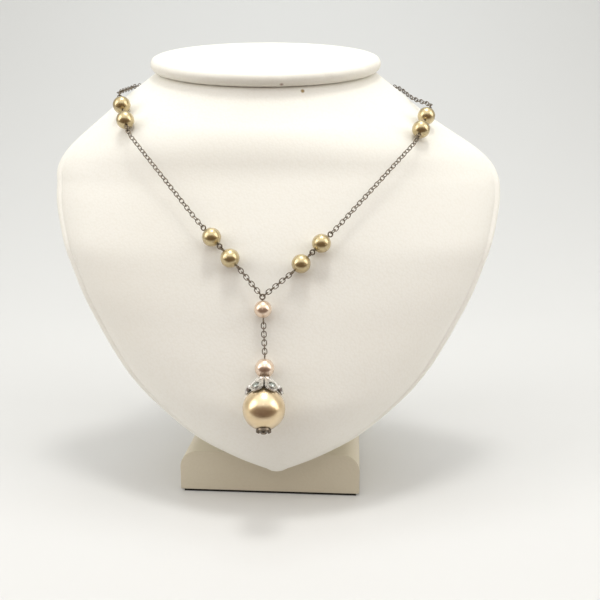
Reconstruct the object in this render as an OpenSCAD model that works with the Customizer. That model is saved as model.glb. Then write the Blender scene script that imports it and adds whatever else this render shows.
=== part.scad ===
// Lavaliere necklace: fine chain, pearls in pairs and a pearl drop, laid on a plain neck bust.
// Millimetres. The floor is z = 0 and the front of the bust faces -y. Left and right are as seen from the front.

/* [Neck bust] */
// Width across the shoulders
bust_w = 212; // [195:1:230]
// Height of the chest's lower tip above the floor
tip_h = 18.7; // [16:0.1:26]
// Height of the widest place of the shoulders
shoulder_h = 143; // [135:1:150]
// Height of the middle of the neck's top
neck_h = 196.5; // [188:0.5:205]
// Width of the neck at its top
neck_w = 106; // [96:1:116]
// Depth that the neck's top would have if it were round at the back too
neck_d = 76; // [68:1:84]
// Distance from the neck's middle to its flat back
neck_flat = 27.5; // [22:0.5:32]
// Forward tilt of the neck's top, in degrees
neck_tilt = 16; // [8:1:20]
// How far the neck's middle stands to the left of the chest's middle
neck_shift = 6.5; // [0:0.5:8]
// How far the shoulders' edges stand behind the lower tip
shoulder_back = 51; // [45:1:57]
// How far the neck's middle stands behind the lower tip
neck_back = 79; // [73:1:85]
// How far the middle of the chest stands in front of its edges
chest_bow = 30; // [24:1:36]
// Thickness of the chest's edge
edge_t = 7; // [5:0.5:9]

/* [Neck cap] */
// How far the padded cap stands out over the neck
cap_over = 3.8; // [2:0.2:6]
// Thickness of the cap at its rim
cap_t = 6.3; // [5:0.1:8]
// How much the cap's top rises to its middle
cap_crown = 1.2; // [0.5:0.1:2]

/* [Back board and foot] */
// Width of the back board
board_w = 72; // [60:1:96]
// Thickness of the back board
board_t = 8; // [6:0.5:12]
// Height of the back board's top above the floor
board_top = 165; // [150:1:172]
// Radius of the back board's upper corners
board_round = 20; // [8:1:28]
// Width of the foot
foot_w = 84; // [76:1:100]
// Depth of the foot, front to back
foot_d = 100; // [98:1:120]
// Height of the foot above its felt
foot_t = 19; // [16:0.5:20]
// Radius of the foot's upper long edges
foot_round = 8; // [4:0.5:12]
// How far the foot's front stands behind the chest's lower tip
foot_in = 16; // [12:1:20]
// How far the foot stands to the left of the chest's middle
foot_shift = 4; // [0:0.5:6]
// Turn of the foot, in degrees
foot_turn = 3.9; // [0:0.1:5]
// Thickness of the felt under the foot
felt_t = 1.3; // [0.8:0.1:2]
// How far the felt stands in from the foot's sides
felt_in = 1.5; // [0.5:0.1:3]

/* [Chain] */
// Length of a link
link_l = 3; // [2.6:0.05:3.4]
// Width of a link
link_w = 2.35; // [2.1:0.05:2.5]
// Diameter of a link's wire
link_wire = 0.4; // [0.3:0.02:0.5]

/* [Pearls and pins] */
// Diameter of the pearls on the chain and of the drop's lower small pearl
pearl_d = 8.2; // [7:0.1:9]
// Diameter of the drop's upper pearl
top_d = 7.5; // [6.5:0.1:8.5]
// Diameter of the large pearl
large_d = 17.6; // [16:0.1:19]
// Diameter of the pins' wire
pin_wire = 0.6; // [0.5:0.02:0.7]
// Outer diameter of the pins' eyes
eye_d = 2.7; // [2.4:0.05:3]
// Diameter of the holes through the small pearls
pearl_bore = 1; // [0.9:0.05:1.3]
// Diameter of the hole through the large pearl
large_bore = 1.2; // [1:0.05:1.6]

/* [Bead cap, stones and finial] */
// Number of petals
petals = 6; // [5:1:6]
// Height of the bead cap's top above the large pearl's middle
crest_h = 12.7; // [11.8:0.1:13.5]
// Radius of the bead cap's flat top
crest_r = 2.9; // [2.4:0.1:3.2]
// Distance of the stones from the drop's axis
stone_out = 6.25; // [5.9:0.05:6.6]
// Height of the stones above the large pearl's middle
stone_up = 8.5; // [8.2:0.05:9]
// Width of a petal at its stone
petal_w = 5.7; // [5:0.1:6]
// Thickness of a petal
petal_t = 0.8; // [0.6:0.05:1]
// Diameter of a stone
stone_d = 2.9; // [2.4:0.1:3.2]
// Diameter of the finial below the large pearl
finial_d = 6.2; // [5:0.1:7]
// Thickness of the finial's shell
finial_t = 0.8; // [0.6:0.05:1.2]

/* [Clasp] */
// Outer diameter of the clasp's ring
clasp_d = 6.6; // [6:0.1:8]
// Diameter of the clasp's wire
clasp_wire = 1.1; // [0.9:0.05:1.3]

/* [Hidden] */
// y of the chest's lower tip, so that the origin lies under the middle of the whole
tip_y = -44.7;
// Clearance between pieces that rest on or in each other
rest_gap = 0.3;
// Clearance between the large pearl and the chest, which leaves room for the settings behind it
large_gap = 1;
// Clearance between linked wires
link_gap = 0.13;
// Length of bare wire between a pearl and its eye
eye_neck = 0.1;
// Distance from the bust to the middle of the chain
chain_lift = 2.1;
// Length over which a chain leaves a pearl in line with its pin
lead = 5;
// Exponents of the chest's bow at the front and of its fall to the edges at the back
front_fall = 0.76;
back_fall = 1.4;

leatherette = [0.95, 0.93, 0.88];
silver_dark = [0.36, 0.35, 0.33];
silver = [0.72, 0.71, 0.68];
pearl_gold = [0.71, 0.6, 0.37];
pearl_pink = [0.9, 0.8, 0.66];

// General functions

function mix(a, b, share) = a + (b - a) * share;
function unit(v) = v / norm(v);

// Sections of the bust

// From the lower tip (0) to the shoulders (1): height, width, how far back the edge stands,
// bow of the front, reach of the back
CHEST_ROWS = [
    [0.000, 0.030, 0.000, 0.01, 0.00],
    [0.013, 0.088, 0.024, 0.08, 0.01],
    [0.036, 0.169, 0.052, 0.20, 0.02],
    [0.086, 0.306, 0.111, 0.42, 0.05],
    [0.134, 0.401, 0.164, 0.59, 0.09],
    [0.197, 0.498, 0.225, 0.75, 0.18],
    [0.260, 0.582, 0.278, 0.85, 0.34],
    [0.332, 0.658, 0.341, 0.89, 0.58],
    [0.414, 0.727, 0.413, 0.92, 0.85],
    [0.499, 0.791, 0.495, 0.95, 1.05],
    [0.589, 0.852, 0.570, 0.96, 1.15],
    [0.677, 0.900, 0.644, 0.96, 1.18],
    [0.765, 0.943, 0.718, 0.95, 1.18],
    [0.849, 0.974, 0.823, 0.98, 1.15],
    [0.934, 0.997, 0.928, 1.00, 1.12],
    [1.000, 1.000, 1.000, 1.00, 1.10]];
// From the shoulders (0) to the neck's top (1): height, width left over the neck's (1 to 0),
// how far back the edge stands, tilt, shift, roundness, edge left (1 to 0)
NECK_ROWS = [
    [0.07, 0.997, 0.06, 0.02, 0.10, 0.03, 1.00],
    [0.15, 0.975, 0.12, 0.05, 0.20, 0.08, 0.97],
    [0.24, 0.920, 0.18, 0.10, 0.32, 0.16, 0.90],
    [0.34, 0.828, 0.26, 0.18, 0.50, 0.28, 0.80],
    [0.46, 0.690, 0.37, 0.33, 0.72, 0.44, 0.62],
    [0.58, 0.545, 0.50, 0.52, 0.90, 0.62, 0.42],
    [0.70, 0.400, 0.66, 0.72, 1.00, 0.80, 0.22],
    [0.82, 0.250, 0.82, 0.88, 1.00, 0.93, 0.14],
    [0.92, 0.110, 0.94, 0.97, 1.00, 0.99, 0.11],
    [1.00, 0.000, 1.00, 1.00, 1.00, 1.00, 0.10]];

// Columns of a section in millimetres and shares
HEIGHT = 0;
HALF = 1;
RIM = 2;
BOW = 3;
BACK = 4;
TILT = 5;
SHIFT = 6;
ROUND = 7;
EDGE = 8;

neck_y = tip_y + neck_back;
flat_y = neck_y + neck_flat;
// The board stands over the middle of the turned foot
board_x = (flat_y - tip_y - foot_in) * sin(foot_turn) - foot_shift;
sections = concat(
    [for (r = CHEST_ROWS) [
        mix(tip_h, shoulder_h, r[0]),
        r[1] * bust_w / 2,
        tip_y + r[2] * shoulder_back,
        r[3] * chest_bow,
        r[4],
        0, 0, 0, edge_t]],
    [for (r = NECK_ROWS) [
        mix(shoulder_h, neck_h, r[0]),
        mix(neck_w, bust_w, r[1]) / 2,
        tip_y + mix(shoulder_back, neck_back, r[2]),
        mix(chest_bow, neck_d / 2, r[5]),
        mix(1.1, 1, r[5]),
        r[3], r[4], r[5], r[6] * edge_t]]);

last = len(sections) - 1;
function span(z, i = 0) = i >= last - 1 || z < sections[i + 1][HEIGHT] ? i : span(z, i + 1);
function slope(i) =
    let (a = sections[max(i - 1, 0)], b = sections[min(i + 1, last)])
    (b - a) / (b[HEIGHT] - a[HEIGHT]);
// The section at height z, on a smooth curve through the rows
function section(z) =
    let (
        i = span(z),
        rise = sections[i + 1][HEIGHT] - sections[i][HEIGHT],
        t = min(max((z - sections[i][HEIGHT]) / rise, 0), 1))
    sections[i] * (1 + 2 * t) * (1 - t) * (1 - t) + sections[i + 1] * t * t * (3 - 2 * t)
        + slope(i) * rise * t * (1 - t) * (1 - t) - slope(i + 1) * rise * t * t * (1 - t);

// Radius of the rounded edge of a section
function edge_round(s) = min(0.49 * s[EDGE], 0.6 * s[HALF]);
// Points of a section in its own plane; the angle runs from the front's middle over the right side
function front_at(s, angle) = [
    (s[HALF] - edge_round(s)) * sin(angle),
    s[RIM] - s[BOW] * pow(abs(cos(angle)), 2 * mix(front_fall, 0.5, s[ROUND]))];
function back_at(s, angle) =
    let (reach = mix((flat_y - s[RIM] - s[EDGE]) * s[BACK], neck_d / 2, s[ROUND]))
    [
        (s[HALF] - edge_round(s)) * sin(angle),
        min(flat_y, s[RIM] + s[EDGE] + reach * pow(abs(cos(angle)), 2 * mix(back_fall, 0.5, s[ROUND])))];
// A point of a section, shifted and tilted with the neck
function placed(s, p) = [
    p.x - neck_shift * s[SHIFT],
    p.y,
    s[HEIGHT] + s[TILT] * (p.y - neck_y) * tan(neck_tilt)];

// Places on the bust: share of the height from the tip to the neck's top, and angle
function skin(share, angle) =
    let (s = section(mix(tip_h, neck_h, share)))
    placed(s, cos(angle) >= 0 ? front_at(s, angle) : back_at(s, angle));
function outward(share, angle) =
    unit(cross(
        skin(share, angle + 0.4) - skin(share, angle - 0.4),
        skin(min(share + 0.0024, 1), angle) - skin(share - 0.0024, angle)));
function above(share, angle, lift) = skin(share, angle) + lift * outward(share, angle);

// Neck bust

levels = 40;
front_steps = 24;
back_steps = 16;

// The four points of a section's rounded edge on one side, from the front to the back
function edge_at(s, side) =
    let (r = edge_round(s), c = s[HALF] - r, d = r * sin(45))
    [
        [side * (c + d), s[RIM] + r - d],
        [side * s[HALF], s[RIM] + r],
        [side * s[HALF], s[RIM] + s[EDGE] - r],
        [side * (c + d), s[RIM] + s[EDGE] - r + d]];
function ring(s) =
    let (right = edge_at(s, 1), left = edge_at(s, -1))
    [for (p = concat(
        [for (i = [0:front_steps]) front_at(s, mix(-90, 90, i / front_steps))],
        right,
        [for (i = [0:back_steps]) back_at(s, mix(90, 270, i / back_steps))],
        [for (i = [3:-1:0]) left[i]])) placed(s, p)];

function total(list, i = 0) = i == len(list) - 1 ? list[i] : list[i] + total(list, i + 1);

// A solid through rings of equally many points, closed at both ends by a fan about the middle
module lofted(rings) {
    n = len(rings[0]);
    top = len(rings) - 1;
    points = concat([for (r = rings, p = r) p], [total(rings[0]) / n, total(rings[top]) / n]);
    polyhedron(points, concat(
        [for (i = [0:n - 1]) [(top + 1) * n, i, (i + 1) % n]],
        [for (i = [0:n - 1]) [(top + 1) * n + 1, top * n + (i + 1) % n, top * n + i]],
        [for (k = [0:top - 1], i = [0:n - 1]) [k * n + i, (k + 1) * n + i, k * n + (i + 1) % n]],
        [for (k = [0:top - 1], i = [0:n - 1])
            [k * n + (i + 1) % n, (k + 1) * n + i, (k + 1) * n + (i + 1) % n]]));
}

module chest() {
    color(leatherette)
        lofted([for (k = [0:levels]) ring(section(mix(tip_h, neck_h, pow(k / levels, 1.3))))]);
}

module neck_cap() {
    sides = 48;
    half_w = neck_w / 2 + cap_over;
    half_d = neck_d / 2 + cap_over;
    // How far the rings of the cap stand in, and their heights
    rows = concat(
        [for (t = [-90:30:90]) [cap_t / 2 * (1 - cos(t)), cap_t / 2 * (1 + sin(t))]],
        [for (share = [0.4, 0.7, 0.9]) [half_d * share, cap_t + cap_crown * sin(90 * share)]]);
    color(leatherette)
        translate([-neck_shift, neck_y, neck_h])
            rotate([neck_tilt, 0, 0])
                translate([0, 0, rest_gap])
                    lofted([for (r = rows)
                        [for (i = [0:sides - 1]) [
                            (half_w - r.x) * sin(360 * i / sides - 90),
                            -(half_d - r.x) * cos(360 * i / sides - 90),
                            r.y]]]);
}

module back_board() {
    up = board_top - felt_t - foot_t;
    color(leatherette)
        translate([board_x, flat_y + rest_gap + board_t, felt_t + foot_t])
            rotate([90, 0, 0])
                linear_extrude(height = board_t)
                    union() {
                        translate([-board_w / 2, 0]) square([board_w, up - board_round]);
                        translate([board_round - board_w / 2, 0]) square([board_w - 2 * board_round, up]);
                        for (side = [-1, 1])
                            translate([side * (board_w / 2 - board_round), up - board_round])
                                circle(r = board_round, $fn = 64);
                    }
}

module on_foot() {
    translate([-foot_shift, tip_y + foot_in, 0])
        rotate([0, 0, -foot_turn])
            children();
}

module foot() {
    color(leatherette)
        on_foot()
            translate([0, foot_d, felt_t])
                rotate([90, 0, 0])
                    linear_extrude(height = foot_d)
                        union() {
                            translate([-foot_w / 2, 0]) square([foot_w, foot_t - foot_round]);
                            translate([foot_round - foot_w / 2, 0]) square([foot_w - 2 * foot_round, foot_t]);
                            for (side = [-1, 1])
                                translate([side * (foot_w / 2 - foot_round), foot_t - foot_round])
                                    circle(r = foot_round, $fn = 48);
                        }
}

module foot_felt() {
    color([0.16, 0.15, 0.13])
        on_foot()
            translate([felt_in - foot_w / 2, felt_in / 2, 0])
                cube([foot_w - 2 * felt_in, foot_d - felt_in, felt_t]);
}

// Strands

// Where the four pearls of each side lie, from the middle up: share of the height, angle
LEFT_PEARLS = [[0.525, -11.4], [0.572, -15.9], [0.872, -50.2], [0.910, -61.5]];
RIGHT_PEARLS = [[0.5135, 6.4], [0.558, 11.2], [0.841, 52.8], [0.871, 64.6]];
// The chain's way round the neck, from the upper pearls to the clasp
LEFT_NECK = [[0.944, -92], [0.9455, -106], [0.942, -124], [0.928, -148]];
RIGHT_NECK = [[0.922, 89], [0.942, 106], [0.942, 126], [0.928, 149]];
// Where the clasp and the pieces of the drop lie
CLASP_PLACE = [0.9155, 180];
TOP_PLACE = [0.4117, -3.4];
LOWER_PLACE = [0.280, -3.4];
LARGE_PLACE = [0.1945, -3.8];

pitch_most = link_l - 2 * link_wire - link_gap;
// Distances between the middles of linked eyes, and of an eye and a link
eye_to_eye = eye_d - 2 * pin_wire - link_gap;
eye_to_link = eye_d / 2 - pin_wire + link_l / 2 - link_wire - link_gap;
// Distance from the middle of a pearl to the middle of its pin's eyes
function eye_reach(d) = d / 2 + eye_neck + eye_d / 2;
pair_pitch = 2 * eye_reach(pearl_d) + eye_to_eye;

// Distances run along a path, and the point at a distance
function run_of(path) = [
    for (i = 0, d = 0; i < len(path); d = d + (i + 1 < len(path) ? norm(path[i + 1] - path[i]) : 0), i = i + 1) d];
function along(path, run, d) = [
    for (c = [0:2]) lookup(d, [for (i = [0:len(path) - 1]) [run[i], path[i][c]]])];
// A path through points, straight to the second of them and smooth from there
function bend(a, b, c, d, t) =
    0.5 * (2 * b + (c - a) * t + (2 * a - 5 * b + 4 * c - d) * t * t + (3 * b - a - 3 * c + d) * t * t * t);
function smooth(p, steps = 8) = concat(
    [p[0]],
    [for (i = [1:len(p) - 2], k = [0:steps - 1])
        bend(p[i - 1], p[i], p[i + 1], p[min(i + 2, len(p) - 1)], k / steps)],
    [p[len(p) - 1]]);

// Number of links on a path, and one more where the turn of the eye at its end asks for it
function links_on(path) =
    let (run = run_of(path))
    ceil((run[len(run) - 1] - 2 * eye_to_link) / pitch_most) + 1;
function links_between(path, start_turn, end_turn) =
    links_on(path) + (links_on(path) + start_turn + 1 + end_turn) % 2;

// Away from the line through the neck's middle
function away(p) = [p.x + neck_shift, p.y - neck_y, 0];
// Frame at p with x along the strand; turn 0 lays the piece flat on the bust and turn 1 stands it on edge
function frame(p, t, turn) =
    let (
        n = away(p),
        flat = unit(n - t * (n * t)),
        z = turn % 2 == 0 ? flat : cross(t, flat),
        y = cross(z, t))
    [
        [t.x, y.x, z.x, p.x],
        [t.y, y.y, z.y, p.y],
        [t.z, y.z, z.z, p.z],
        [0, 0, 0, 1]];

// The four pearls of a side: middle and direction
function pair_of(places, first) =
    let (
        a = above(places[first].x, places[first].y, pearl_d / 2 + rest_gap),
        b = above(places[first + 1].x, places[first + 1].y, pearl_d / 2 + rest_gap),
        t = unit(b - a),
        m = (a + b) / 2)
    [[m - t * pair_pitch / 2, t], [m + t * pair_pitch / 2, t]];
function pearls_of(places) = concat(pair_of(places, 0), pair_of(places, 2));
left_pearls = pearls_of(LEFT_PEARLS);
right_pearls = pearls_of(RIGHT_PEARLS);
function eye_of(pearl, end, d = pearl_d) = pearl[0] + end * eye_reach(d) * pearl[1];

// The drop: middles of its pieces, down its axis
lower_rest = above(LOWER_PLACE.x, LOWER_PLACE.y, pearl_d / 2 + rest_gap);
drop_axis = unit(above(LARGE_PLACE.x, LARGE_PLACE.y, large_d / 2 + large_gap) - lower_rest);
drop_eye = lower_rest - drop_axis * eye_reach(pearl_d);
large_mid = lower_rest + drop_axis * (pearl_d / 2 + rest_gap + crest_h);
top_mid = above(TOP_PLACE.x, TOP_PLACE.y, top_d / 2 + rest_gap);
top_pearl = [top_mid, unit(drop_eye - top_mid)];
middle_eye = eye_of(top_pearl, -1, top_d);

// The clasp: its middle and the eyes at its two ends
clasp_mid = above(CLASP_PLACE.x, CLASP_PLACE.y, chain_lift);
clasp_reach = clasp_d / 2 + eye_d / 2 - pin_wire;

// A straight path between two pearls whose ends turn into line with the pins
function eased(lower, upper) =
    let (
        a = eye_of(lower, 1),
        b = eye_of(upper, -1),
        ka = a + lead * lower[1],
        kb = b - lead * upper[1],
        t = unit(kb - ka),
        cut = 0.4 * lead)
    [a, ka - cut * lower[1], ka + cut * t, kb - cut * t, kb + cut * upper[1], b];

// Paths of the chains, from eye to eye
front_left = [middle_eye, eye_of(left_pearls[0], -1)];
front_right = [middle_eye, eye_of(right_pearls[0], -1)];
side_left = eased(left_pearls[1], left_pearls[2]);
side_right = eased(right_pearls[1], right_pearls[2]);
back_left = smooth(concat(
    [eye_of(left_pearls[3], 1), eye_of(left_pearls[3], 1) + lead * left_pearls[3][1]],
    [for (w = LEFT_NECK) above(w.x, w.y, chain_lift)],
    [clasp_mid - [clasp_reach, 0, 0]]));
back_right = smooth(concat(
    [eye_of(right_pearls[3], 1), eye_of(right_pearls[3], 1) + lead * right_pearls[3][1]],
    [for (w = RIGHT_NECK) above(w.x, w.y, chain_lift)],
    [clasp_mid + [clasp_reach, 0, 0]]));
drop_path = [eye_of(top_pearl, 1, top_d), drop_eye];

// Turns of the pins and their eyes: 0 lies flat on the bust and 1 stands on edge, and each link or
// pin is turned across the last
PIN_TURNS = [1, 0, 1, 0];
MIDDLE_TURN = 0;
UNDER_TURN = 1;
DROP_TURN = 1;
CLASP_TURN = 0;

module oval_link() {
    mid_r = (link_w - link_wire) / 2;
    straight = link_l - link_w;
    for (end = [-1, 1])
        translate([end * straight / 2, 0, 0])
            rotate([0, 0, end * -90])
                rotate_extrude(angle = 180, $fn = 32)
                    translate([mid_r, 0])
                        circle(d = link_wire, $fn = 16);
    for (side = [-1, 1])
        translate([-straight / 2, side * mid_r, 0])
            rotate([0, 90, 0])
                cylinder(d = link_wire, h = straight, $fn = 16);
}

// A chain along a path between two eyes, with its links turned to suit both
module chain(path, start_turn, end_turn) {
    run = run_of(path);
    count = links_between(path, start_turn, end_turn);
    step = (run[len(run) - 1] - 2 * eye_to_link) / (count - 1);
    color(silver_dark)
        for (i = [0:count - 1]) {
            d = eye_to_link + i * step;
            p = along(path, run, d);
            t = unit(along(path, run, d + link_l / 4) - along(path, run, d - link_l / 4));
            multmatrix(frame(p, t, start_turn + 1 + i)) oval_link();
        }
}

module eye() {
    rotate_extrude($fn = 32)
        translate([(eye_d - pin_wire) / 2, 0])
            circle(d = pin_wire, $fn = 16);
}

// A shank a little thinner than the wire, so that its ends lie inside the eyes
module shank(from, to) {
    translate([from, 0, 0])
        rotate([0, 90, 0])
            cylinder(d = 0.9 * pin_wire, h = to - from, $fn = 16);
}

// A pin through a pearl, with the turn of each of its two eyes
module eye_pin(pearl, turns, d = pearl_d) {
    end = d / 2 + eye_neck + pin_wire / 2;
    color(silver_dark) {
        multmatrix(frame(pearl[0], pearl[1], 0)) shank(-end, end);
        for (k = [0, 1])
            multmatrix(frame(pearl[0], pearl[1], turns[k]))
                translate([(2 * k - 1) * eye_reach(d), 0, 0])
                    eye();
    }
}

module pearl(place, d, bore, tint) {
    color(tint)
        multmatrix(frame(place[0], place[1], 0))
            difference() {
                sphere(d = d, $fn = 72);
                rotate([0, 90, 0]) cylinder(d = bore, h = d + 2, center = true, $fn = 24);
            }
}

module clasp() {
    color(silver_dark)
        translate(clasp_mid)
            rotate([90, 0, 0]) {
                rotate_extrude($fn = 48)
                    translate([(clasp_d - clasp_wire) / 2, 0])
                        circle(d = clasp_wire, $fn = 20);
                for (side = [-1, 1]) translate([side * clasp_reach, 0, 0]) eye();
            }
}

// Drop

// Places its children on the large pearl's middle with z up the drop's axis and the front at -y
module on_drop() {
    z = -drop_axis;
    n = away(large_mid);
    y = -unit(n - z * (n * z));
    x = cross(y, z);
    multmatrix([
        [x.x, y.x, z.x, large_mid.x],
        [x.y, y.y, z.y, large_mid.y],
        [x.z, y.z, z.z, large_mid.z],
        [0, 0, 0, 1]])
        children();
}

// Slope of the petals, and the distance down a petal from the flat top to its stone
petal_fall = atan2(crest_h - stone_up, stone_out - crest_r);
petal_run = norm([crest_h - stone_up, stone_out - crest_r]);
petal_rim = 0.45;
petal_relief = 0.3;
setting_t = 0.4;
setting_h = 0.55;
stone_gap = 0.06;
stone_deep = 0.9;

// Places its children on the outer face of petal k, with x down the petal and z outwards
module on_petal(k) {
    rotate([0, 0, -90 + 180 / petals + k * 360 / petals])
        translate([crest_r, 0, crest_h])
            rotate([0, petal_fall, 0])
                children();
}

module petal_outline(inset) {
    r = petal_w / 2 - inset;
    neck = 1.15 - inset;
    shoulder = petal_run - 0.3 * r;
    union() {
        translate([petal_run, 0]) circle(r = r, $fn = 40);
        polygon([
            [inset - 0.6, -neck],
            [shoulder, -r * sqrt(1 - 0.3 * 0.3)],
            [shoulder, r * sqrt(1 - 0.3 * 0.3)],
            [inset - 0.6, neck]]);
    }
}

module bead_cap() {
    pocket_d = stone_d + 2 * stone_gap;
    color(silver)
        on_drop()
            difference() {
                union() {
                    translate([0, 0, crest_h - petal_t]) cylinder(r = crest_r, h = petal_t, $fn = 48);
                    for (k = [0:petals - 1])
                        on_petal(k)
                            union() {
                                difference() {
                                    translate([0, 0, -petal_t]) linear_extrude(height = petal_t) petal_outline(0);
                                    translate([0, 0, -petal_relief])
                                        linear_extrude(height = 2 * petal_relief) petal_outline(petal_rim);
                                }
                                translate([petal_run, 0, -petal_t])
                                    cylinder(d = pocket_d + 2 * setting_t, h = petal_t + setting_h, $fn = 32);
                            }
                }
                for (k = [0:petals - 1])
                    on_petal(k)
                        translate([petal_run, 0, -petal_t - 1])
                            cylinder(d = pocket_d, h = petal_t + setting_h + 2, $fn = 32);
                cylinder(d = pearl_bore, h = 2 * crest_h, $fn = 24);
            }
}

module cap_stone(k) {
    table_r = 0.55 * stone_d / 2;
    color([0.85, 0.87, 0.9, 0.8])
        on_drop()
            on_petal(k)
                translate([petal_run, 0, setting_h - 0.15]) {
                    hull() {
                        translate([0, 0, -0.1]) cylinder(d = stone_d, h = 0.1, $fn = 16);
                        rotate([0, 0, 22.5]) cylinder(r = table_r, h = 0.45, $fn = 8);
                    }
                    translate([0, 0, -0.1 - stone_deep]) cylinder(r1 = 0.15, r2 = stone_d / 2, h = stone_deep, $fn = 8);
                }
}

module finial() {
    inner = large_d / 2 + rest_gap / 2;
    granules = 10;
    granule_d = 1;
    ring_r = finial_d / 2 - granule_d / 2;
    ring_h = sqrt(pow(inner + finial_t, 2) - ring_r * ring_r);
    color(silver_dark)
        on_drop()
            difference() {
                union() {
                    rotate_extrude($fn = 48)
                        difference() {
                            intersection() {
                                circle(r = inner + finial_t, $fn = 120);
                                translate([0, -2 * inner]) square([finial_d / 2, 2 * inner]);
                            }
                            circle(r = inner, $fn = 120);
                        }
                    for (i = [0:granules - 1])
                        rotate([0, 0, i * 360 / granules])
                            translate([ring_r, 0, -ring_h])
                                sphere(d = granule_d, $fn = 16);
                }
                translate([0, 0, -2 * large_d]) cylinder(d = pearl_bore, h = 2 * large_d, $fn = 24);
            }
}

module head_pin() {
    // Distances down the axis from the large pearl's middle
    tail = large_d / 2 + rest_gap / 2 + finial_t + 0.1;
    eye_up = norm(large_mid - drop_eye);
    color(silver_dark) {
        multmatrix(frame(large_mid, drop_axis, 0)) {
            shank(-eye_up + eye_d / 2 - pin_wire / 2, tail + 0.3);
            translate([tail, 0, 0]) rotate([0, 90, 0]) cylinder(d = 1.7, h = 0.6, $fn = 24);
        }
        multmatrix(frame(drop_eye, drop_axis, DROP_TURN)) eye();
    }
}

chest();
neck_cap();
back_board();
foot();
foot_felt();
chain(front_left, MIDDLE_TURN, PIN_TURNS[0]);  // front_chain_left
chain(front_right, MIDDLE_TURN, PIN_TURNS[0]);  // front_chain_right
chain(side_left, PIN_TURNS[1], PIN_TURNS[2]);  // side_chain_left
chain(side_right, PIN_TURNS[1], PIN_TURNS[2]);  // side_chain_right
chain(back_left, PIN_TURNS[3], CLASP_TURN);  // back_chain_left
chain(back_right, PIN_TURNS[3], CLASP_TURN);  // back_chain_right
chain(drop_path, UNDER_TURN, DROP_TURN);  // drop_chain
clasp();
for (k = [0:3]) {
    pearl(left_pearls[k], pearl_d, pearl_bore, pearl_gold);
    pearl(right_pearls[k], pearl_d, pearl_bore, pearl_gold);
    eye_pin(left_pearls[k], PIN_TURNS[k] * [1, 1]);
    eye_pin(right_pearls[k], PIN_TURNS[k] * [1, 1]);
}
pearl(top_pearl, top_d, pearl_bore, pearl_pink);  // drop_top_pearl
eye_pin(top_pearl, [MIDDLE_TURN, UNDER_TURN], top_d);  // drop_top_pin
pearl([lower_rest, drop_axis], pearl_d, pearl_bore, pearl_pink);  // drop_lower_pearl
pearl([large_mid, drop_axis], large_d, large_bore, pearl_pink);  // large_pearl
head_pin();
bead_cap();
for (k = [0:petals - 1])
    cap_stone(k);
finial();
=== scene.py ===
import math
import bmesh
import bpy
import numpy as np
from mathutils import Matrix, Vector


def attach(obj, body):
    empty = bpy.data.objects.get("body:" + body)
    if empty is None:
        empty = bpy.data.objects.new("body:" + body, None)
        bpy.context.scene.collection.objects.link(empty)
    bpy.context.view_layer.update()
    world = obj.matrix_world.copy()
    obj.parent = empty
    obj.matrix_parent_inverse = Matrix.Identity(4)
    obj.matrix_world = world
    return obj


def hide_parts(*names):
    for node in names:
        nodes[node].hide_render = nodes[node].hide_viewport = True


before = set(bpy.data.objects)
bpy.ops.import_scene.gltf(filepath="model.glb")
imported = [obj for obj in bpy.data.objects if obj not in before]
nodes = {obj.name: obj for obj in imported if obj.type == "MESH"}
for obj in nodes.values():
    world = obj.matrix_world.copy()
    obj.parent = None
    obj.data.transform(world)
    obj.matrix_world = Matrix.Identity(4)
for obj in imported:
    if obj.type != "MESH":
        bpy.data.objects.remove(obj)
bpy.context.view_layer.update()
scene = bpy.context.scene
scene.view_settings.view_transform = "Standard"
mergeGap = 0.000002             # metres, within which two points of a solid's mesh are one
print("frame loaded:", len(nodes), "nodes")


# shader helpers

class Wire:
    # a socket that can be used in plain maths
    def __init__(self, mat, socket):
        self.mat, self.socket = mat, socket

    def maths(self, operation, *values):
        return self.mat.node("ShaderNodeMath", {"operation": operation}, *values)

    def __add__(self, other):
        return self.maths("ADD", self, other)

    def __radd__(self, other):
        return self.maths("ADD", other, self)

    def __sub__(self, other):
        return self.maths("SUBTRACT", self, other)

    def __rsub__(self, other):
        return self.maths("SUBTRACT", other, self)

    def __mul__(self, other):
        return self.maths("MULTIPLY", self, other)

    def __rmul__(self, other):
        return self.maths("MULTIPLY", other, self)

    def between(self, low, high):
        # 0 below low, 1 above high, smooth in between
        return self.mat.node("ShaderNodeMapRange", {"interpolation_type": "SMOOTHSTEP"},
                             {"Value": self, "From Min": low, "From Max": high})


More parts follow.
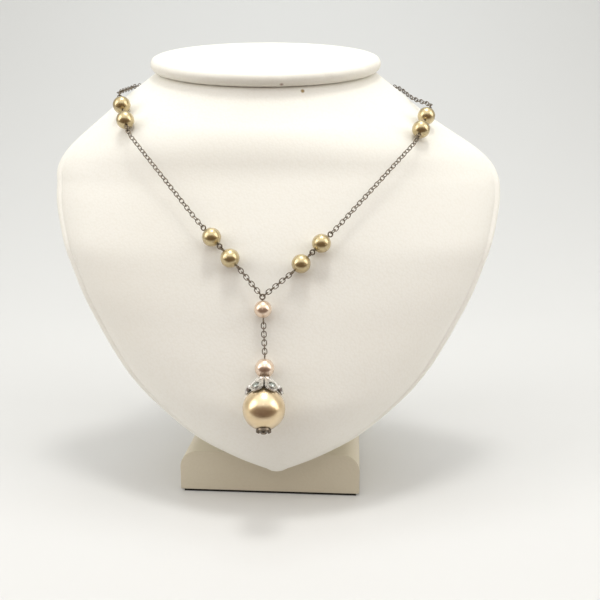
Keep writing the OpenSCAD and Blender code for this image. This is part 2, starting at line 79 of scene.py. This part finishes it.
class Material:
    def __init__(self, name):
        self.data = bpy.data.materials.new(name)
        self.data.use_nodes = True
        self.tree = self.data.node_tree
        self.shader = next(n for n in self.tree.nodes if n.type == "BSDF_PRINCIPLED")

    def put(self, socket, value):
        if isinstance(value, Wire):
            self.tree.links.new(value.socket, socket)
        elif isinstance(value, tuple) and socket.type == "RGBA":
            socket.default_value = (*value, 1)
        else:
            socket.default_value = value

    def node(self, kind, settings, *values, out=0):
        # the values come in the order of the sockets, or by name in one dictionary
        made = self.tree.nodes.new(kind)
        for key, value in settings.items():
            setattr(made, key, value)
        if values and isinstance(values[0], dict):
            for key, value in values[0].items():
                socket = next(s for s in made.inputs if s.name == key and s.enabled)
                self.put(socket, value)
        else:
            for socket, value in zip(made.inputs, values):
                self.put(socket, value)
        return Wire(self, made.outputs[out])

    def place(self):
        # the fourth output holds the Object coordinates
        return self.node("ShaderNodeTexCoord", {}, out=3)

    def noise(self, vector, scale, detail=3, roughness=0.5):
        return self.node("ShaderNodeTexNoise", {}, {
            "Vector": vector, "Scale": scale, "Detail": detail, "Roughness": roughness})

    def pebbles(self, vector, scale, smooth):
        return self.node("ShaderNodeTexVoronoi", {"feature": "SMOOTH_F1"}, {
            "Vector": vector, "Scale": scale, "Smoothness": smooth})

    def blend(self, share, first, second):
        # the third output holds the mixed colour
        return self.node("ShaderNodeMix", {"data_type": "RGBA"}, {
            "Factor": share, "A": first, "B": second}, out=2)

    def bump(self, height, distance, strength=1.0):
        return self.node("ShaderNodeBump", {}, {
            "Strength": strength, "Distance": distance, "Height": height})

    def finish(self, sockets):
        for name, value in sockets.items():
            self.put(self.shader.inputs[name], value)
        return self.data


# materials: the scales of their patterns are counts to a metre, their depths are metres

leatherLook = {
    "cream": (0.865, 0.853, 0.795), "shade": (0.80, 0.772, 0.69),
    # the foot's tint is painted shade for the chest's shadow on the foot; the cap's tint is its own tone
    "footPaintedShade": (0.72, 0.665, 0.555), "capTint": (1, 0.995, 0.98),
    # the grain: rounded pebbles with a finer unevenness on them
    "pebbles": 900.0, "pebbleSmooth": 0.4, "pebbleHeight": -0.8,
    "fine": 2600.0, "fineHeight": 0.35,
    "grainDepth": 0.00005, "grainStrength": 0.8,
    # the darker tone lies in cloudy patches, a random tone of the leather, and in the grooves as painted
    # shade
    "patches": 14.0, "patchRange": (0.35, 0.75), "patchShade": 0.35,
    "grooveRange": (0.35, 0.8), "groovePaintedShade": 0.25,
    "roughness": 0.42, "roughnessRange": 0.16,
    # a stain is full within this share of its size
    "stainCore": 0.3,
    "neckStain": {"at": (0.0115, -0.0023, 0.1843), "size": 0.00125, "strength": 0.95,
                  "colour": (0.30, 0.19, 0.04)},
}


def tinted(colour, tintAndPaintedShade):
    return tuple(a * b for a, b in zip(colour, tintAndPaintedShade))


# the tint multiplies both colours: for the cap it is a tone of its own, for the foot it is painted shade
def makeLeather(name, tintAndPaintedShade=(1, 1, 1), stains=()):
    look = leatherLook
    m = Material(name)
    here = m.place()
    pebbles = m.pebbles(here, look["pebbles"], look["pebbleSmooth"])
    fine = m.noise(here, look["fine"], 2)
    cloudy = m.noise(here, look["patches"], 3)
    height = pebbles * look["pebbleHeight"] + fine * look["fineHeight"]
    cream, shade = tinted(look["cream"], tintAndPaintedShade), tinted(look["shade"], tintAndPaintedShade)
    colour = m.blend(cloudy.between(*look["patchRange"]) * look["patchShade"], cream, shade)
    # painted shade: the grooves between the pebbles are darkened
    colour = m.blend(pebbles.between(*look["grooveRange"]) * look["groovePaintedShade"], colour, shade)
    for stain in stains:
        far = m.node("ShaderNodeVectorMath", {"operation": "DISTANCE"}, here, stain["at"], out=1)
        inside = 1 - far.between(stain["size"] * look["stainCore"], stain["size"])
        colour = m.blend(inside * stain["strength"], colour, stain["colour"])
    return m.finish({
        "Base Color": colour,
        "Roughness": look["roughness"] + cloudy * look["roughnessRange"],
        "Normal": m.bump(height, look["grainDepth"], look["grainStrength"])})


feltLook = {
    "deep": (0.012, 0.011, 0.010), "high": (0.045, 0.040, 0.034),
    "fuzz": 3000.0, "fuzzDetail": 4, "fuzzRoughness": 0.7, "fuzzDepth": 0.0002, "roughness": 0.95,
}


def makeFelt():
    look = feltLook
    m = Material("feltUnderFoot")
    fuzz = m.noise(m.place(), look["fuzz"], look["fuzzDetail"], look["fuzzRoughness"])
    return m.finish({
        "Base Color": m.blend(fuzz, look["deep"], look["high"]),
        "Roughness": look["roughness"],
        "Normal": m.bump(fuzz, look["fuzzDepth"])})


metalLook = {
    "dark": {"bright": (0.185, 0.15, 0.112), "dull": (0.036, 0.027, 0.019), "roughness": 0.2},
    "cap": {"bright": (0.78, 0.76, 0.72), "dull": (0.12, 0.11, 0.10), "roughness": 0.24},
    # the dull patches: where they start without tarnish and how far tarnish moves that
    "patches": 900.0, "patchDetail": 4, "patchRoughness": 0.65,
    "patchStart": 0.62, "tarnishReach": 0.3, "patchFull": 0.85, "patchShare": 0.8,
    "roughnessRange": 0.22,
    # fine hammer marks
    "marks": 2500.0, "markDepth": 0.00002, "markStrength": 0.6,
}


def makeMetal(name, look, tarnish):
    m = Material(name)
    here = m.place()
    cloudy = m.noise(here, metalLook["patches"], metalLook["patchDetail"], metalLook["patchRoughness"])
    marks = m.noise(here, metalLook["marks"], 2)
    start = metalLook["patchStart"] - tarnish * metalLook["tarnishReach"]
    dull = cloudy.between(start, metalLook["patchFull"]) * metalLook["patchShare"]
    return m.finish({
        "Base Color": m.blend(dull, look["bright"], look["dull"]),
        "Metallic": 1.0,
        "Roughness": look["roughness"] + cloudy * metalLook["roughnessRange"],
        "Normal": m.bump(marks, metalLook["markDepth"], metalLook["markStrength"])})


pearlLook = {
    "golden": {"body": (0.56, 0.44, 0.21), "second": (0.46, 0.35, 0.15),
               "metallic": 0.82, "roughness": 0.28},
    "blush": {"body": (0.81, 0.64, 0.49), "second": (0.74, 0.55, 0.39),
              "metallic": 0.8, "roughness": 0.27},
    "champagne": {"body": (0.77, 0.60, 0.36), "second": (0.69, 0.52, 0.28),
                  "metallic": 0.82, "roughness": 0.27},
    # the second colour lies in soft patches
    "patches": 160.0, "patchRange": (0.3, 0.7), "roughnessRange": 0.08,
    "skin": 1800.0, "skinDepth": 0.000008, "skinStrength": 0.5,
    "coatRoughness": 0.2, "coatIor": 1.9,
}


def makePearl(name, look):
    m = Material(name)
    here = m.place()
    cloudy = m.noise(here, pearlLook["patches"], 3)
    skin = m.noise(here, pearlLook["skin"], 2)
    return m.finish({
        "Base Color": m.blend(cloudy.between(*pearlLook["patchRange"]), look["body"], look["second"]),
        "Metallic": look["metallic"],
        "Roughness": look["roughness"] + cloudy * pearlLook["roughnessRange"],
        "Normal": m.bump(skin, pearlLook["skinDepth"], pearlLook["skinStrength"]),
        "Coat Weight": 1.0, "Coat Roughness": pearlLook["coatRoughness"], "Coat IOR": pearlLook["coatIor"]})


stoneLook = {
    "light": (0.50, 0.55, 0.50), "deep": (0.20, 0.23, 0.21),
    "patches": 700.0, "patchRange": (0.3, 0.7), "roughness": 0.03, "roughnessRange": 0.02,
    "clear": 0.4, "ior": 1.6, "metallic": 0.5, "coatRoughness": 0.02,
}


def makeStone():
    look = stoneLook
    m = Material("cutStone")
    cloudy = m.noise(m.place(), look["patches"], 2)
    return m.finish({
        "Base Color": m.blend(cloudy.between(*look["patchRange"]), look["light"], look["deep"]),
        "Roughness": look["roughness"] + cloudy * look["roughnessRange"],
        "Transmission Weight": look["clear"], "IOR": look["ior"], "Metallic": look["metallic"],
        "Coat Weight": 1.0, "Coat Roughness": look["coatRoughness"]})


feltMaterial = makeFelt()
chainMetal = makeMetal("chainMetal", metalLook["dark"], 0.5)
capMetal = makeMetal("capMetal", metalLook["cap"], 0.8)
finialMetal = makeMetal("finialMetal", metalLook["dark"], 0.9)
goldenPearl = makePearl("goldenPearl", pearlLook["golden"])
blushPearl = makePearl("blushPearl", pearlLook["blush"])
champagnePearl = makePearl("champagnePearl", pearlLook["champagne"])
stoneMaterial = makeStone()
chestLeather = makeLeather("chestLeather", stains=[leatherLook["neckStain"]])
# the foot's leather is the chest's leather darkened as painted shade, for the chest's shadow on it
footLeatherPaintedShade = makeLeather("footLeatherPaintedShade", leatherLook["footPaintedShade"])
print("materials made")


# piece helpers

def keepPiece(piece, slotName, *replaced):
    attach(piece, "root")
    if replaced:
        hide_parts(*replaced)
    return piece


def makeObject(name, mesh, material):
    mesh.materials.clear()
    mesh.materials.append(material)
    piece = bpy.data.objects.new(name, mesh)
    scene.collection.objects.link(piece)
    return piece


def smoothFaces(mesh):
    for face in mesh.polygons:
        face.use_smooth = True


def ringMesh(name, rings):
    # a closed skin through rings of equally many points, in millimetres, with a point at each end
    count, size = len(rings), len(rings[0])
    points = np.concatenate(rings + [[np.mean(rings[0], 0)], [np.mean(rings[-1], 0)]]) / 1000
    faces = []
    for k in range(count - 1):
        for i in range(size):
            j = (i + 1) % size
            faces.append((k * size + i, k * size + j, (k + 1) * size + j, (k + 1) * size + i))
    low, high = count * size, count * size + 1
    for i in range(size):
        j = (i + 1) % size
        faces.append((low, j, i))
        faces.append((high, (count - 1) * size + i, (count - 1) * size + j))
    mesh = bpy.data.meshes.new(name)
    mesh.from_pydata([tuple(p) for p in points], [], faces)
    mesh.update()
    bm = bmesh.new()
    bm.from_mesh(mesh)
    bmesh.ops.recalc_face_normals(bm, faces=bm.faces)
    bm.to_mesh(mesh)
    bm.free()
    smoothFaces(mesh)
    return mesh


def settled(piece):
    # the evaluated mesh in place of the modifiers
    shown = piece.evaluated_get(bpy.context.evaluated_depsgraph_get())
    mesh = bpy.data.meshes.new_from_object(shown)
    mesh.name = piece.name
    piece.modifiers.clear()
    old = piece.data
    piece.data = mesh
    bpy.data.meshes.remove(old)
    return piece


def mergedSolid(node):
    # a solid's mesh with its loose triangles joined
    bm = bmesh.new()
    bm.from_mesh(nodes[node].data)
    bmesh.ops.remove_doubles(bm, verts=bm.verts, dist=mergeGap)
    return bm


# neck bust: the same sections as the solid, in millimetres and degrees

bust = {
    "width": 212, "tipY": -44.7, "tipHeight": 18.7, "shoulderHeight": 143, "neckHeight": 196.5,
    "neckWidth": 106, "neckDepth": 76, "neckFlat": 27.5, "neckTilt": 16, "neckShift": 6.5,
    "shoulderBack": 51, "neckBack": 79, "chestBow": 30, "edge": 7,
    # powers of a section's front and back; with the last a section is an ellipse
    "frontFall": 0.76, "backFall": 1.4, "roundFall": 0.5,
    # the edge's corner as a share of the edge, and at most of the half width
    "corner": 0.49, "cornerMost": 0.6,
    # reach of the back where the neck starts
    "neckReach": 1.1,
    # the levels stand closer near the tip
    "levels": 150, "levelPower": 1.3, "frontSteps": 90, "backSteps": 50, "edgeSteps": 6,
    # height, width, how far back the edge stands, bow of the front, reach of the back
    "chestRows": [
        (0.000, 0.030, 0.000, 0.01, 0.00), (0.013, 0.088, 0.024, 0.08, 0.01),
        (0.036, 0.169, 0.052, 0.20, 0.02), (0.086, 0.306, 0.111, 0.42, 0.05),
        (0.134, 0.401, 0.164, 0.59, 0.09), (0.197, 0.498, 0.225, 0.75, 0.18),
        (0.260, 0.582, 0.278, 0.85, 0.34), (0.332, 0.658, 0.341, 0.89, 0.58),
        (0.414, 0.727, 0.413, 0.92, 0.85), (0.499, 0.791, 0.495, 0.95, 1.05),
        (0.589, 0.852, 0.570, 0.96, 1.15), (0.677, 0.900, 0.644, 0.96, 1.18),
        (0.765, 0.943, 0.718, 0.95, 1.18), (0.849, 0.974, 0.823, 0.98, 1.15),
        (0.934, 0.997, 0.928, 1.00, 1.12), (1.000, 1.000, 1.000, 1.00, 1.10)],
    # height, width left over the neck's, how far back the edge stands, tilt, shift, roundness, edge left
    "neckRows": [
        (0.07, 0.997, 0.06, 0.02, 0.10, 0.03, 1.00), (0.15, 0.975, 0.12, 0.05, 0.20, 0.08, 0.97),
        (0.24, 0.920, 0.18, 0.10, 0.32, 0.16, 0.90), (0.34, 0.828, 0.26, 0.18, 0.50, 0.28, 0.80),
        (0.46, 0.690, 0.37, 0.33, 0.72, 0.44, 0.62), (0.58, 0.545, 0.50, 0.52, 0.90, 0.62, 0.42),
        (0.70, 0.400, 0.66, 0.72, 1.00, 0.80, 0.22), (0.82, 0.250, 0.82, 0.88, 1.00, 0.93, 0.14),
        (0.92, 0.110, 0.94, 0.97, 1.00, 0.99, 0.11), (1.00, 0.000, 1.00, 1.00, 1.00, 1.00, 0.10)],
}
neckY = bust["tipY"] + bust["neckBack"]
flatY = neckY + bust["neckFlat"]


def mix(a, b, share):
    return a + (b - a) * share


def bustSections():
    # height, half width, y of the edge, bow, reach of the back, tilt, shift, roundness, edge
    rows = [[mix(bust["tipHeight"], bust["shoulderHeight"], r[0]), r[1] * bust["width"] / 2,
             bust["tipY"] + r[2] * bust["shoulderBack"], r[3] * bust["chestBow"], r[4], 0, 0, 0, bust["edge"]]
            for r in bust["chestRows"]]
    rows += [[mix(bust["shoulderHeight"], bust["neckHeight"], r[0]),
              mix(bust["neckWidth"], bust["width"], r[1]) / 2,
              bust["tipY"] + mix(bust["shoulderBack"], bust["neckBack"], r[2]),
              mix(bust["chestBow"], bust["neckDepth"] / 2, r[5]), mix(bust["neckReach"], 1, r[5]),
              r[3], r[4], r[5], r[6] * bust["edge"]] for r in bust["neckRows"]]
    return np.array(rows, float)


sections = bustSections()


def sectionAt(z):
    # a smooth curve through the rows
    last = len(sections) - 1
    i = min(max(int(np.searchsorted(sections[:, 0], z, side="right")) - 1, 0), last - 1)

    def slope(k):
        a, b = sections[max(k - 1, 0)], sections[min(k + 1, last)]
        return (b - a) / (b[0] - a[0])

    rise = sections[i + 1][0] - sections[i][0]
    t = min(max((z - sections[i][0]) / rise, 0), 1)
    return (sections[i] * (1 + 2 * t) * (1 - t) ** 2 + sections[i + 1] * t * t * (3 - 2 * t)
            + slope(i) * rise * t * (1 - t) ** 2 - slope(i + 1) * rise * t * t * (1 - t))


def bustRing(z):
    height, half, rim, bow, back, tilt, shift, roundness, edge = sectionAt(z)
    r = min(bust["corner"] * edge, bust["cornerMost"] * half)
    wide = half - r
    fall = 2 * mix(bust["frontFall"], bust["roundFall"], roundness)
    points = []
    for i in range(bust["frontSteps"] + 1):
        a = math.radians(mix(-90, 90, i / bust["frontSteps"]))
        points.append((wide * math.sin(a), rim - bow * abs(math.cos(a)) ** fall))
    turn = [math.radians(mix(0, 90, k / bust["edgeSteps"])) for k in range(1, bust["edgeSteps"] + 1)]
    right = [(wide + r * math.sin(a), rim + r - r * math.cos(a)) for a in turn]
    right += [(wide + r * math.cos(a), rim + edge - r + r * math.sin(a)) for a in [0] + turn[:-1]]
    points += right
    reach = mix((flatY - rim - edge) * back, bust["neckDepth"] / 2, roundness)
    fall = 2 * mix(bust["backFall"], bust["roundFall"], roundness)
    for i in range(bust["backSteps"] + 1):
        a = math.radians(mix(90, 270, i / bust["backSteps"]))
        y = rim + edge + reach * abs(math.cos(a)) ** fall
        points.append((wide * math.sin(a), min(flatY, y)))
    points += [(-x, y) for x, y in reversed(right)]
    lean = math.tan(math.radians(bust["neckTilt"]))
    return [(x - bust["neckShift"] * shift, y, height + tilt * (y - neckY) * lean) for x, y in points]


def makeChest():
    heights = [mix(bust["tipHeight"], bust["neckHeight"], (k / bust["levels"]) ** bust["levelPower"])
               for k in range(bust["levels"] + 1)]
    mesh = ringMesh("bustCover", [bustRing(z) for z in heights])
    keepPiece(makeObject("bustCover", mesh, chestLeather), "bust_cover", "chest")


makeChest()

neckCap = {
    "over": 3.8, "thick": 6.3, "crown": 1.2, "gap": 0.3, "sides": 240, "fill": 0.9,
    # degrees from one row to the next round the rim, then shares of the way in for the rows on top
    "rimStep": 12, "topShares": (0.15, 0.25, 0.4, 0.55, 0.7, 0.85, 0.95),
    # the puckers: how far in, how far down and from which row up, then waves round the rim
    "pucker": 0.28, "sink": 0.12, "sinkFrom": -60, "seed": 7, "waves": (9, 14, 23, 37, 52), "lean": 0.02,
    # on top they die out within this share of the way in
    "fadeAt": 0.35, "fade": 1.5,
    "stains": [
        {"x": 8.0, "in": 0.0, "up": 1.0, "colour": (0.20, 0.06, 0.03), "size": 1.5, "strength": 0.95},
        {"x": 8.0, "in": 12.0, "up": 7.0, "colour": (0.50, 0.42, 0.30), "size": 1.6, "strength": 0.35}],
}


def capPoint(r, angle, z):
    # r is how far the ring stands in; turned and raised with the neck's top
    x = (bust["neckWidth"] / 2 + neckCap["over"] - r) * math.sin(angle)
    y = -(bust["neckDepth"] / 2 + neckCap["over"] - r) * math.cos(angle)
    z += neckCap["gap"]
    tilt = math.radians(bust["neckTilt"])
    return (x - bust["neckShift"], y * math.cos(tilt) - z * math.sin(tilt) + neckY,
            bust["neckHeight"] + y * math.sin(tilt) + z * math.cos(tilt))


def capRows():
    # how far in, how high, and the angle round the rim, from -90 below to 90 on top
    half = neckCap["thick"] / 2
    rows = [(half * (1 - math.cos(math.radians(t))), half * (1 + math.sin(math.radians(t))), t)
            for t in range(-90, 91, neckCap["rimStep"])]
    deep = bust["neckDepth"] / 2 + neckCap["over"]
    for share in neckCap["topShares"]:
        crown = neckCap["crown"] * math.sin(math.radians(90 * share))
        rows.append((deep * share, neckCap["thick"] + crown, 90))
    return rows, deep


def capStain(info):
    at = capPoint(info["in"], math.asin(info["x"] / (bust["neckWidth"] / 2)), info["up"])
    return {"at": tuple(c / 1000 for c in at), "size": info["size"] / 1000,
            "strength": info["strength"], "colour": info["colour"]}


def makeCap():
    rows, deep = capRows()
    rng = np.random.default_rng(neckCap["seed"])
    waves = [(n, rng.uniform(0, 6.3), rng.uniform(0.4, 1)) for n in neckCap["waves"]]
    rings = []
    for r, z, t in rows:
        if t < 90:
            rim = math.cos(math.radians(t))
        else:
            rim = max(0, neckCap["fadeAt"] - r / deep) * neckCap["fade"]
        ring = []
        for i in range(neckCap["sides"]):
            a = 2 * math.pi * i / neckCap["sides"] - math.pi / 2
            pull = sum(w * math.sin(n * a + p + neckCap["lean"] * t) for n, p, w in waves) / 3
            inward = neckCap["pucker"] * rim * (0.5 + 0.5 * pull)
            down = neckCap["sink"] * rim * pull if t > neckCap["sinkFrom"] else 0
            ring.append(capPoint(r + inward, a, z - down))
        rings.append(ring)
    stains = [capStain(info) for info in neckCap["stains"]]
    leather = makeLeather("capLeather", leatherLook["capTint"], stains)
    piece = makeObject("capCover", ringMesh("capCover", rings), leather)
    keepPiece(piece, "bust_cover", "neck_cap")


makeCap()

block = {"edge": 0.0014, "steps": 4, "from": 40}    # metres, and the degrees from which an edge is rounded


def makeBlock(name, node, material):
    # a covered block: the solid with its edges rounded under the cover
    mesh = bpy.data.meshes.new(name)
    bm = mergedSolid(node)
    bm.to_mesh(mesh)
    bm.free()
    piece = makeObject(name, mesh, material)
    soften = piece.modifiers.new("soften", "BEVEL")
    soften.width, soften.segments = block["edge"], block["steps"]
    soften.limit_method, soften.angle_limit = "ANGLE", math.radians(block["from"])
    settled(piece)
    smoothFaces(piece.data)
    keepPiece(piece, "bust_cover", node)


makeBlock("footCover", "foot", footLeatherPaintedShade)
makeBlock("boardCover", "back_board", chestLeather)
print("neck bust made")


# chain links: placed where the solids' links lie

link = {"length": 3.0, "width": 2.35, "wire": 0.4, "roundSteps": 22, "wireSteps": 8}


def linkTree():
    tree = bpy.data.node_groups.new("chainLinks", "GeometryNodeTree")
    face = tree.interface
    face.new_socket("Geometry", in_out="INPUT", socket_type="NodeSocketGeometry")
    for name in ("Link Length", "Link Width", "Wire"):
        face.new_socket(name, in_out="INPUT", socket_type="NodeSocketFloat")
    face.new_socket("Material", in_out="INPUT", socket_type="NodeSocketMaterial")
    face.new_socket("Geometry", in_out="OUTPUT", socket_type="NodeSocketGeometry")

    def add(kind, **settings):
        made = tree.nodes.new(kind)
        for key, value in settings.items():
            setattr(made, key, value)
        return made

    def maths(operation, a, b):
        made = add("ShaderNodeMath", operation=operation)
        for socket, value in zip(made.inputs, (a, b)):
            if isinstance(value, (int, float)):
                socket.default_value = value
            else:
                tree.links.new(value, socket)
        return made.outputs[0]

    source, sink = add("NodeGroupInput"), add("NodeGroupOutput")
    length, width, wire = source.outputs[1:4]

    # the wire's path: a circle, whose two halves move apart along the link
    circle = add("GeometryNodeCurvePrimitiveCircle")
    circle.inputs["Resolution"].default_value = link["roundSteps"]
    radius = maths("MULTIPLY", maths("SUBTRACT", width, wire), 0.5)
    tree.links.new(radius, circle.inputs["Radius"])
    here = add("GeometryNodeInputPosition")
    split = add("ShaderNodeSeparateXYZ")
    tree.links.new(here.outputs[0], split.inputs[0])
    half = maths("MULTIPLY", maths("SUBTRACT", length, width), 0.5)
    apart = add("ShaderNodeCombineXYZ")
    tree.links.new(maths("MULTIPLY", maths("SIGN", split.outputs[0], 0), half), apart.inputs[0])
    spread = add("GeometryNodeSetPosition")
    tree.links.new(circle.outputs["Curve"], spread.inputs["Geometry"])
    tree.links.new(apart.outputs[0], spread.inputs["Offset"])

    # the wire round that path
    section = add("GeometryNodeCurvePrimitiveCircle")
    section.inputs["Resolution"].default_value = link["wireSteps"]
    tree.links.new(maths("MULTIPLY", wire, 0.5), section.inputs["Radius"])
    swept = add("GeometryNodeCurveToMesh")
    tree.links.new(spread.outputs[0], swept.inputs["Curve"])
    tree.links.new(section.outputs["Curve"], swept.inputs["Profile Curve"])

    # one link on each point, turned by the point's own attribute
    turn = add("GeometryNodeInputNamedAttribute", data_type="FLOAT_VECTOR")
    turn.inputs["Name"].default_value = "turn"
    spots = add("GeometryNodeInstanceOnPoints")
    tree.links.new(source.outputs["Geometry"], spots.inputs["Points"])
    tree.links.new(swept.outputs[0], spots.inputs["Instance"])
    tree.links.new(turn.outputs[0], spots.inputs["Rotation"])
    real = add("GeometryNodeRealizeInstances")
    smooth = add("GeometryNodeSetShadeSmooth")
    dress = add("GeometryNodeSetMaterial")
    tree.links.new(spots.outputs[0], real.inputs[0])
    tree.links.new(real.outputs[0], smooth.inputs[0])
    tree.links.new(smooth.outputs[0], dress.inputs[0])
    tree.links.new(source.outputs["Material"], dress.inputs["Material"])
    tree.links.new(dress.outputs[0], sink.inputs[0])
    return tree


def linkPlaces(node):
    # middle and turn of each loose link in a chain's solid
    bm = mergedSolid(node)
    seen, places = set(), []
    for start in bm.verts:
        if start.index in seen:
            continue
        seen.add(start.index)
        todo, found = [start], []
        while todo:
            vert = todo.pop()
            found.append(vert.co[:])
            for edge in vert.link_edges:
                other = edge.other_vert(vert)
                if other.index not in seen:
                    seen.add(other.index)
                    todo.append(other)
        points = np.array(found)
        rough = points.mean(0)
        # the link's own axes, the longest first
        axes = np.linalg.eigh(np.cov((points - rough).T))[1][:, ::-1]
        across = (points - rough) @ axes
        middle = rough + axes @ ((across.max(0) + across.min(0)) / 2)
        axes[:, 2] = np.cross(axes[:, 0], axes[:, 1])
        places.append((middle, Matrix(axes.tolist()).to_euler()))
    bm.free()
    return places


def makeLinks(name, node, tree):
    places = linkPlaces(node)
    mesh = bpy.data.meshes.new(name)
    mesh.from_pydata([tuple(p) for p, turn in places], [], [])
    turns = mesh.attributes.new("turn", "FLOAT_VECTOR", "POINT")
    turns.data.foreach_set("vector", np.array([turn[:] for p, turn in places], np.float32).ravel())
    piece = bpy.data.objects.new(name, mesh)
    scene.collection.objects.link(piece)
    maker = piece.modifiers.new("links", "NODES")
    maker.node_group = tree
    values = {"Link Length": link["length"] / 1000, "Link Width": link["width"] / 1000,
              "Wire": link["wire"] / 1000, "Material": chainMetal}
    for item in tree.interface.items_tree:
        if item.in_out == "INPUT" and item.name in values:
            maker[item.identifier] = values[item.name]
    settled(piece)
    keepPiece(piece, "dark_metal", node)
    return len(places)


chains = {
    "linksFrontLeft": "front_chain_left", "linksFrontRight": "front_chain_right",
    "linksSideLeft": "side_chain_left", "linksSideRight": "side_chain_right",
    "linksBackLeft": "back_chain_left", "linksBackRight": "back_chain_right",
    "linksDrop": "drop_chain",
}
chainTree = linkTree()
total = sum(makeLinks(name, node, chainTree) for name, node in chains.items())
print("links made:", total)


# finishes of the solids that stay; the pins and the clasp are of the chains' metal

solidLooks = {
    "drop_top_pearl": blushPearl, "drop_lower_pearl": blushPearl, "large_pearl": champagnePearl,
    "bead_cap": capMetal, "finial": finialMetal, "foot_felt": feltMaterial,
}
for name, node in nodes.items():
    if name.startswith("pearl_"):
        look = goldenPearl
    elif name.startswith("cap_stone"):
        look = stoneMaterial
    else:
        look = solidLooks.get(name, chainMetal)
    for holder in node.material_slots:
        holder.material = look
print("solids dressed")


# stage, light and camera, in metres

stage = {
    "floor": (0.67, 0.67, 0.665), "floorPatch": (0.62, 0.62, 0.615), "roughness": 0.6,
    "patches": 3.0, "patchShare": 0.15,
    # half the floor's width, its front edge, where it bends up behind, the bend's radius and the top
    "side": 2.88, "frontEdge": -0.16, "bendAt": 0.35, "bend": 1.5, "top": 3.0,
    "lights": {
        "key": {"place": (0, -0.5, 1.05), "aim": (0, -0.25, 0), "size": (2.2, 1.6),
                "power": 9.3, "colour": (0.97, 0.99, 1)},
        "top": {"place": (0.05, -0.15, 1.3), "aim": (0, -0.02, 0), "size": (0.24, 0.24),
                "power": 4.2, "colour": (1, 0.99, 0.96)},
        "left": {"place": (-1.1, -0.45, 0.6), "aim": (0, 0, 0.12), "size": (0.7, 1),
                 "power": 7.0, "colour": (1, 0.98, 0.95)},
        "right": {"place": (1.1, -0.45, 0.6), "aim": (0, 0, 0.12), "size": (0.7, 1),
                  "power": 6.6, "colour": (1, 0.98, 0.95)},
        "wash": {"place": (0, 0.5, 1.7), "aim": (0, 1.9, 0.9), "size": (0.8, 0.8),
                 "power": 9.6, "colour": (0.86, 0.94, 1)},
    },
    "air": (1.0, 0.96, 0.87), "airPower": 0.56,
    # what the camera sees beyond the floor
    "paper": (0.84, 0.845, 0.82),
    # the dark room in front of the bust, which the camera doesn't see
    "card": {"side": 2.4, "y": -0.55, "low": -0.28, "high": 0.40,
             "colour": (0.10, 0.024, 0.007), "roughness": 0.8},
}


def makeFloor():
    m = Material("paleFloor")
    cloudy = m.noise(m.place(), stage["patches"], 2)
    m.finish({"Base Color": m.blend(cloudy * stage["patchShare"], stage["floor"], stage["floorPatch"]),
              "Roughness": stage["roughness"]})
    side, back, bend = stage["side"], stage["bendAt"], stage["bend"]
    profile = [(stage["frontEdge"], 0.0)]
    for t in range(0, 91, 5):
        a = math.radians(t)
        profile.append((back + bend * math.sin(a), bend * (1 - math.cos(a))))
    profile.append((back + bend, stage["top"]))
    points = [(x, y, z) for y, z in profile for x in (-side, side)]
    faces = [(2 * k, 2 * k + 1, 2 * k + 3, 2 * k + 2) for k in range(len(profile) - 1)]
    mesh = bpy.data.meshes.new("floorSweep")
    mesh.from_pydata(points, [], faces)
    smoothFaces(mesh)
    makeObject("floorSweep", mesh, m.data)


def makeCard():
    info = stage["card"]
    m = Material("brownCard")
    m.finish({"Base Color": info["colour"], "Roughness": info["roughness"]})
    corners = [(-1, "low"), (1, "low"), (1, "high"), (-1, "high")]
    mesh = bpy.data.meshes.new("brownCard")
    mesh.from_pydata([(x * info["side"], info["y"], info[z]) for x, z in corners], [], [(0, 1, 2, 3)])
    card = makeObject("brownCard", mesh, m.data)
    card.visible_camera = False


def addLight(name, info):
    data = bpy.data.lights.new(name + "Light", "AREA")
    data.shape, data.energy, data.color = "RECTANGLE", info["power"], info["colour"]
    data.size, data.size_y = info["size"]
    lamp = bpy.data.objects.new(name + "Light", data)
    scene.collection.objects.link(lamp)
    lamp.location = info["place"]
    way = Vector(info["aim"]) - Vector(info["place"])
    lamp.rotation_euler = way.to_track_quat("-Z", "Y").to_euler()


def makeAir():
    # soft light from all round, and the plain paper for the camera alone
    world = bpy.data.worlds.new("softAir")
    world.use_nodes = True
    tree = world.node_tree
    air = tree.nodes["Background"]
    air.inputs["Color"].default_value = (*stage["air"], 1)
    air.inputs["Strength"].default_value = stage["airPower"]
    paper = tree.nodes.new("ShaderNodeBackground")
    paper.inputs["Color"].default_value = (*stage["paper"], 1)
    seen = tree.nodes.new("ShaderNodeLightPath")
    either = tree.nodes.new("ShaderNodeMixShader")
    tree.links.new(seen.outputs["Is Camera Ray"], either.inputs[0])
    tree.links.new(air.outputs[0], either.inputs[1])
    tree.links.new(paper.outputs[0], either.inputs[2])
    tree.links.new(either.outputs[0], tree.nodes["World Output"].inputs[0])
    scene.world = world


# back is counted from the bust's tip, down is degrees
shot = {"x": 0.0103, "back": 0.318, "height": 0.164, "down": 12.0, "lens": 46.08, "film": 36, "near": 0.01}


def placeCamera():
    data = bpy.data.cameras.new("photoCamera")
    data.sensor_width, data.lens, data.clip_start = shot["film"], shot["lens"], shot["near"]
    camera = bpy.data.objects.new("photoCamera", data)
    scene.collection.objects.link(camera)
    camera.location = (shot["x"], bust["tipY"] / 1000 - shot["back"], shot["height"])
    camera.rotation_euler = (math.radians(90 - shot["down"]), 0, 0)
    scene.camera = camera


makeFloor()
makeCard()
for name, info in stage["lights"].items():
    addLight(name, info)
makeAir()
placeCamera()
print("stage and camera set")
